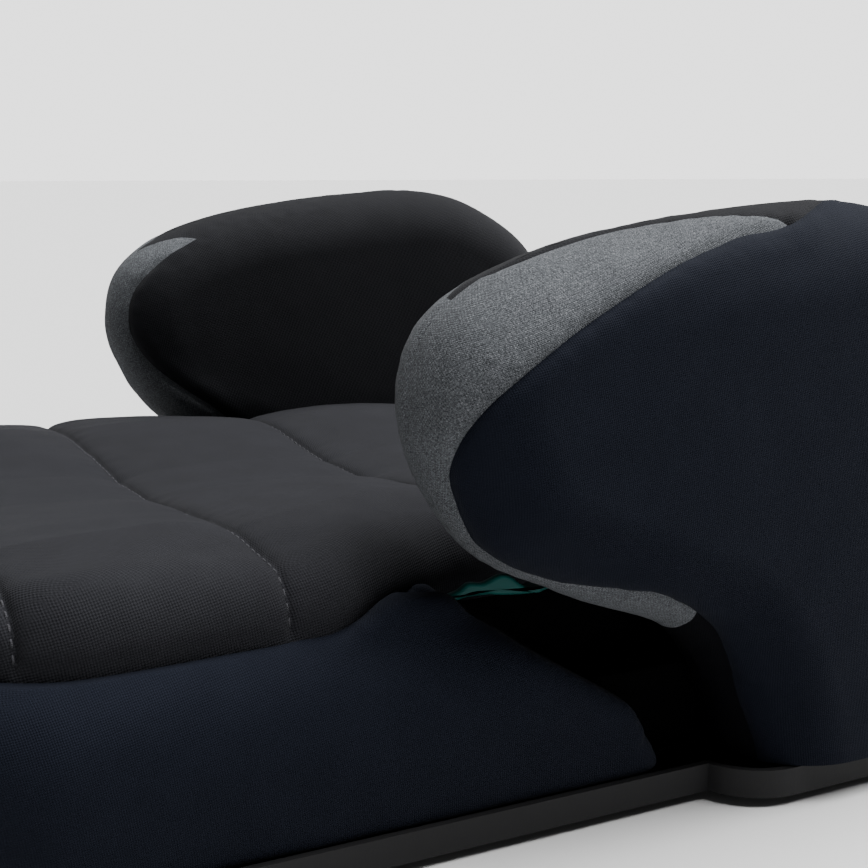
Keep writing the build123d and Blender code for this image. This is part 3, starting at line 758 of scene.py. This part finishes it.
def build_pad():
    """The quilted top: dished, swelling between its sewn channels, with one soft fold along it."""
    co, faces = pad_surface()
    level = co[:, 2].copy()
    half = np.interp(co[:, 1], PAD_TAPER, (PAD_WIDE, PAD_NARROW))
    fold = -1.0 * np.exp(-(((co[:, 0] - 18 - 8 * np.sin(co[:, 1] / 60)) / 14) ** 2))
    crown = dish(co[:, 0] * PAD_WIDE / half) + PUFF * cell_puff(co[:, 1])
    crown += fold * np.clip((co[:, 1] + 150) / 60, 0, 1)
    shoulder = crown - PAD_ROUND
    wall = SEAM_Z + (shoulder - SEAM_Z) * level
    co[:, 2] = np.where(level <= 1, wall, shoulder + PAD_ROUND * np.clip(level - 1, 0, 1))
    normal = vertex_normals(co, faces)
    if np.mean(normal[level > 1.9][:, 2]) < 0:
        normal = -normal
        faces = [face[::-1] for face in faces]
    gap = channel_gap(co[:, 1])
    rimward = np.clip((level - 0.2) / 0.8, 0, 1)
    shift = -CHANNEL_DEPTH * np.exp(-gap / 2.0) * rimward
    shift += PUFF * 0.35 * cell_puff(co[:, 1]) * np.clip(1.9 - level, 0, 1) * rimward
    # Gathers run away from each channel, and broad and small unevenness lies over everything.
    stretched = np.column_stack([co[:, 0], co[:, 1] * 0.28, co[:, 2]])
    shift += wobble(stretched, 6.5, 2) * 0.42 * np.exp(-((gap / 9) ** 2))
    shift += wobble(co, 42, 4) * 1.1 + wobble(co, 17, 5) * 0.28
    pad = make_object("quilted_pad_cover", co + normal * shift[:, None], faces)
    merge_close(pad)
    finish_piece(pad, CHARCOAL, "charcoal_knit", "quilted_cover", "pad_foam")
    return pad


def surface_track(tree, y, half, step=1.0):
    """Points and normals across the pad at one station, over both rims."""

    def over_rim(x, first, last):
        for a in np.linspace(math.radians(first), math.radians(last), 60):
            out = Vector((math.cos(a), 0, math.sin(a)))
            yield tree.ray_cast((Vector((x, y, 90)) + out * 80) * MM, -out, 0.2)

    edge = half - PAD_ROUND
    hits = list(over_rim(edge, -8, 90))
    for x in np.arange(edge, -edge, -step):
        hits.append(tree.ray_cast(Vector((x, y, 200)) * MM, Vector((0, 0, -1)), 0.2))
    hits += over_rim(-edge, 90, 188)
    return [(h[0], h[1]) for h in hits if h[0] is not None]


def build_stitches(pad):
    """Twisted thread dashes along the bottom of each channel."""
    tree = BVHTree.FromObject(pad, bpy.context.evaluated_depsgraph_get())
    co, faces = [], []
    for y in CHANNELS:
        half = 152.0 if y < -180 else (PAD_WIDE if y < PAD_TAPER[0] else PAD_NARROW)
        track = surface_track(tree, y, half)
        pts = np.array([p / MM for p, _ in track])
        nrm = np.array([tuple(q) for _, q in track])
        length = np.concatenate([[0], np.cumsum(np.linalg.norm(np.diff(pts, axis=0), axis=1))])
        at = 1.0
        while at + STITCH_LONG < length[-1] - 1:
            ends = [
                np.array([np.interp(at + far, length, pts[:, k]) for k in range(3)])
                for far in (0, STITCH_LONG)
            ]
            up = np.array([np.interp(at + STITCH_LONG / 2, length, nrm[:, k]) for k in range(3)])
            add_dash(co, faces, *ends, up / np.linalg.norm(up))
            at += STITCH_LONG + STITCH_GAP
    obj = make_object("quilting_thread", np.array(co), faces)
    finish_piece(obj, THREAD, "charcoal_knit")


def add_dash(co, faces, start, end, up, sides=8):
    """One bulging stitch, its ends pulled into the cloth."""
    along = (end - start) / np.linalg.norm(end - start)
    across = np.cross(along, up)
    base = len(co)
    for t, wide, high in STITCH_SHAPE:
        mid = start + (end - start) * t + up * (high * 0.9)
        for k in range(sides):
            a = 2 * math.pi * k / sides
            co.append(mid + (across * math.cos(a) + up * math.sin(a) * 0.8) * STITCH_RADIUS * wide)
    for r in range(base, len(co) - sides, sides):
        for k in range(sides):
            j = (k + 1) % sides
            faces.append((r + k, r + j, r + sides + j, r + sides + k))
    faces.append(tuple(range(base + sides - 1, base - 1, -1)))
    faces.append(tuple(range(len(co) - sides, len(co))))


# ---- side cover ----
def grown_foam_block():
    """The foam block's shape, rounded, grown to the cover's face, and raised at the shoulders."""
    source = bpy.data.objects["seat_core"]
    obj = bpy.data.objects.new("foam_block", source.data.copy())
    bpy.context.collection.objects.link(obj)
    remesh = obj.modifiers.new("remesh", "REMESH")
    remesh.mode = "VOXEL"
    remesh.voxel_size = 3 * MM
    even = obj.modifiers.new("even", "SMOOTH")
    even.iterations = 9
    even.factor = 0.5
    sub = obj.modifiers.new("sub", "SUBSURF")
    sub.levels = sub.render_levels = 1
    mesh = bpy.data.meshes.new_from_object(obj.evaluated_get(bpy.context.evaluated_depsgraph_get()))
    bpy.data.objects.remove(obj)
    co = np.zeros(len(mesh.vertices) * 3)
    normal = np.zeros(len(mesh.vertices) * 3, np.float32)
    mesh.vertices.foreach_get("co", co)
    mesh.vertex_normals.foreach_get("vector", normal)
    co, normal = co.reshape(-1, 3) / MM, normal.reshape(-1, 3).astype(float)
    faces = [tuple(face.vertices) for face in mesh.polygons]
    bpy.data.meshes.remove(mesh)
    grow = COVER_GROWTH + wobble(co, 45, 11) * 0.7 + wobble(co, 18, 12) * 0.25
    co = co + normal * grow[:, None]
    shoulder = np.clip((np.abs(co[:, 0]) - 132) / 8, 0, 1) * np.clip((co[:, 2] - 72) / 12, 0, 1)
    co[:, 2] += SHOULDER_LIFT * np.exp(-(((co[:, 1] - SHOULDER_Y) / 17) ** 2)) * shoulder
    limit = np.interp(co[:, 1], *zip(*TOP_LINE))
    co[:, 2] = np.where(normal[:, 2] > 0, np.minimum(co[:, 2], limit), co[:, 2])
    return co, faces


def build_side_cover():
    """The seat's side panel, and a near-black painted shade where the belt passes under the armrests."""
    co, faces = grown_foam_block()
    for axis, edge in ((0, PATH_SHADE_X), (0, PATH_SHADE_IN), (1, PATH_SHADE_Y)):
        across = np.abs(co[:, 0]) if axis == 0 else co[:, 1]
        co, faces = cut_mesh(co, faces, across - edge)
    normal = vertex_normals(co, faces)
    panel, path_shade = [], []
    for face in faces:
        ids = list(face)
        x, y, z = co[ids].mean(axis=0)
        # Faces in the belt path that face outwards get the near-black painted shade of the deep shadow there.
        in_path = PATH_SHADE_IN < abs(x) < PATH_SHADE_X and y > PATH_SHADE_Y and z < PATH_SHADE_TOP
        outwards = normal[ids, 0].mean() * math.copysign(1, x)
        (path_shade if in_path and outwards > -0.1 else panel).append(face)
    cover = make_object("seat_side_panel_cover", *only_used(co, panel))
    finish_piece(cover, NAVY, "navy_weave", "seat_side_cover", "seat_core")
    finish_piece(make_object("belt_path_painted_shade", *only_used(co, path_shade)), PAINTED_SHADE_BLACK, "black_knit")


def build_shade_sheet(side):
    """A near-black sheet over the side of the mechanism's box, seen past the armrest's post: painted shade for
    the deep shadow there.
    """
    z, y = np.meshgrid(np.linspace(*SHADE_SHEET_Z, 20), np.linspace(*SHADE_SHEET_Y, 70), indexing="ij")
    front = np.column_stack([np.full(y.size, SHADE_SHEET_X), y.ravel(), z.ravel()])
    front[:, 0] += wobble(front, 30, 21) * 0.6
    rows, n = z.shape
    layer = rows * n
    faces = []
    for shift, turn in ((0, 1), (layer, -1)):
        for r in range(rows - 1):
            for k in range(shift + r * n, shift + r * n + n - 1):
                faces.append((k, k + 1, k + n + 1, k + n)[::turn])
    border = [*range(n), *range(2 * n - 1, layer, n)]
    border += [*range(layer - 2, layer - n - 1, -1), *range(layer - 2 * n, 0, -n)]
    for a, b in zip(border, border[1:] + border[:1]):
        faces.append((b, a, a + layer, b + layer))
    both = np.vstack([front, front - [SHADE_SHEET_T, 0, 0]])
    piece = make_object(f"belt_path_shade_sheet_{SIDE_NAMES[side]}", *mirrored(both, faces, side))
    finish_piece(piece, PAINTED_SHADE_BLACK, "black_knit")


# ---- belt guides ----
def build_guide(side):
    """A wavy moulded tongue with rounded edges."""
    tag = SIDE_NAMES[side]
    line = closed_curve(GUIDE_PROFILE, 150)
    inner = line + normals_2d(line) * GUIDE_ROUND
    middle = line.mean(axis=0)
    x0, x1 = GUIDE_X
    layers = [(x0, middle + (inner - middle) * t) for t in np.linspace(0.02, 1, 10)]
    quarter = np.linspace(0, math.pi / 2, 6)
    for a in quarter[1:]:
        layers.append((x0 + GUIDE_ROUND * (1 - math.cos(a)), inner + (line - inner) * math.sin(a)))
    layers += [(x, line) for x in np.linspace(x0 + GUIDE_ROUND, x1 - GUIDE_ROUND, 14)[1:-1]]
    for a in quarter[::-1]:
        layers.append((x1 - GUIDE_ROUND * (1 - math.cos(a)), inner + (line - inner) * math.sin(a)))
    layers += [(x1, middle + (inner - middle) * t) for t in np.linspace(1, 0.02, 10)[1:]]
    co, faces = rings([np.column_stack([np.full(len(yz), x * side), yz]) for x, yz in layers])
    # The tongue is a raised lip along its outer side, with a lower floor behind it.
    behind = np.clip((LIP_X - np.abs(co[:, 0])) / 1.5, 0, 1)
    co[:, 2] -= np.clip(co[:, 2] - LIP_FLOOR, 0, None) * behind * 0.85
    n = len(line)
    ends = [tuple(range(n)), tuple(range(len(co) - n, len(co)))]
    obj = make_object(f"belt_guide_{tag}_moulding", co, [*faces, *ends])
    face_outwards(obj)
    finish_piece(obj, TEAL, "teal_plastic", f"belt_guide_{tag}")


for arm_side in (1, -1):
    build_arm(arm_side)
    build_guide(arm_side)
    build_shade_sheet(arm_side)
seat_pad = build_pad()
build_stitches(seat_pad)
build_side_cover()

# ---- materials of the CAD parts that stay ----
KEPT = {
    "black_plastic": PAN_BLACK, "zinc_steel": ZINC, "foot_rubber": RUBBER, "foam": FOAM,
    "teal_plastic": TEAL, "navy_weave": NAVY, "charcoal_knit": CHARCOAL, "black_knit": BLACK,
    "grey_melange": MELANGE,
}
for entry in frame["record"]["subparts"]:
    part = bpy.data.objects[entry["node"]]
    part.data.materials.clear()
    part.data.materials.append(KEPT[entry["material_slot"]])

# ---- floor, light and camera ----
FLOOR_HALF = 40.0  # metres
HORIZON, DIM, KEY = 2.3, 0.2, 17.5  # brightness of the studio's backdrop, room and softbox
KEY_FROM = Vector((0.05, 0.42, 1.0)).normalized()
BACKDROP = Vector((-0.88, 0.475, 0.0))  # the backdrop stands behind the seat and to its right
FAR_SIDE, NEAR_SIDE = 1.0, 0.38  # how bright the backdrop is there, and on the side facing it
LENS_PIXELS, FRAME_PIXELS, SENSOR = 1500.0, 868.0, 36.0
AZIMUTH, ELEVATION = math.radians(61.63), math.radians(9.91)
CAMERA_AT = (0.6107, -0.2826, 0.2375)


def build_floor():
    mesh = bpy.data.meshes.new("floor")
    corners = [(x * FLOOR_HALF, y * FLOOR_HALF, 0) for x, y in ((-1, -1), (1, -1), (1, 1), (-1, 1))]
    mesh.from_pydata(corners, [], [(0, 1, 2, 3)])
    floor = bpy.data.objects.new("floor", mesh)
    bpy.context.collection.objects.link(floor)
    pale = Nodes("pale_floor")
    pale.set(Base_Color=(0.45, 0.45, 0.45, 1), Roughness=0.95, Specular_IOR_Level=0.0)
    mesh.materials.append(pale.material)


def build_studio():
    """A pale backdrop low round the horizon, and a softbox overhead."""
    world = bpy.data.worlds.new("studio")
    world.use_nodes = True
    n = Graph(world.node_tree)
    direction = n.add("ShaderNodeTexCoord").outputs["Generated"]
    height = n.add("ShaderNodeSeparateXYZ", {0: direction}).outputs[2]
    band = n.ease(height, 0.13, 0.22, HORIZON, DIM)
    turned = n.ease(n.toward(direction, BACKDROP), 0.1, 0.8, NEAR_SIDE, FAR_SIDE)
    softbox = n.ease(n.toward(direction, KEY_FROM), 0.80, 0.92, 0.0, KEY)
    background = world.node_tree.nodes["Background"]
    n.tree.links.new(n.math("MULTIPLY_ADD", band, turned, softbox), background.inputs["Strength"])
    background.inputs["Color"].default_value = (1, 1, 1, 1)
    bpy.context.scene.world = world


def build_camera():
    camera = bpy.data.objects.new("camera", bpy.data.cameras.new("camera"))
    camera.data.sensor_width = SENSOR
    camera.data.lens = SENSOR * LENS_PIXELS / FRAME_PIXELS
    camera.data.clip_start = 0.01
    camera.location = CAMERA_AT
    level = math.cos(ELEVATION)
    ahead = Vector((-math.sin(AZIMUTH) * level, math.cos(AZIMUTH) * level, -math.sin(ELEVATION)))
    camera.rotation_euler = ahead.to_track_quat("-Z", "Y").to_euler()
    bpy.context.collection.objects.link(camera)
    bpy.context.scene.camera = camera


build_floor()
build_studio()
build_camera()
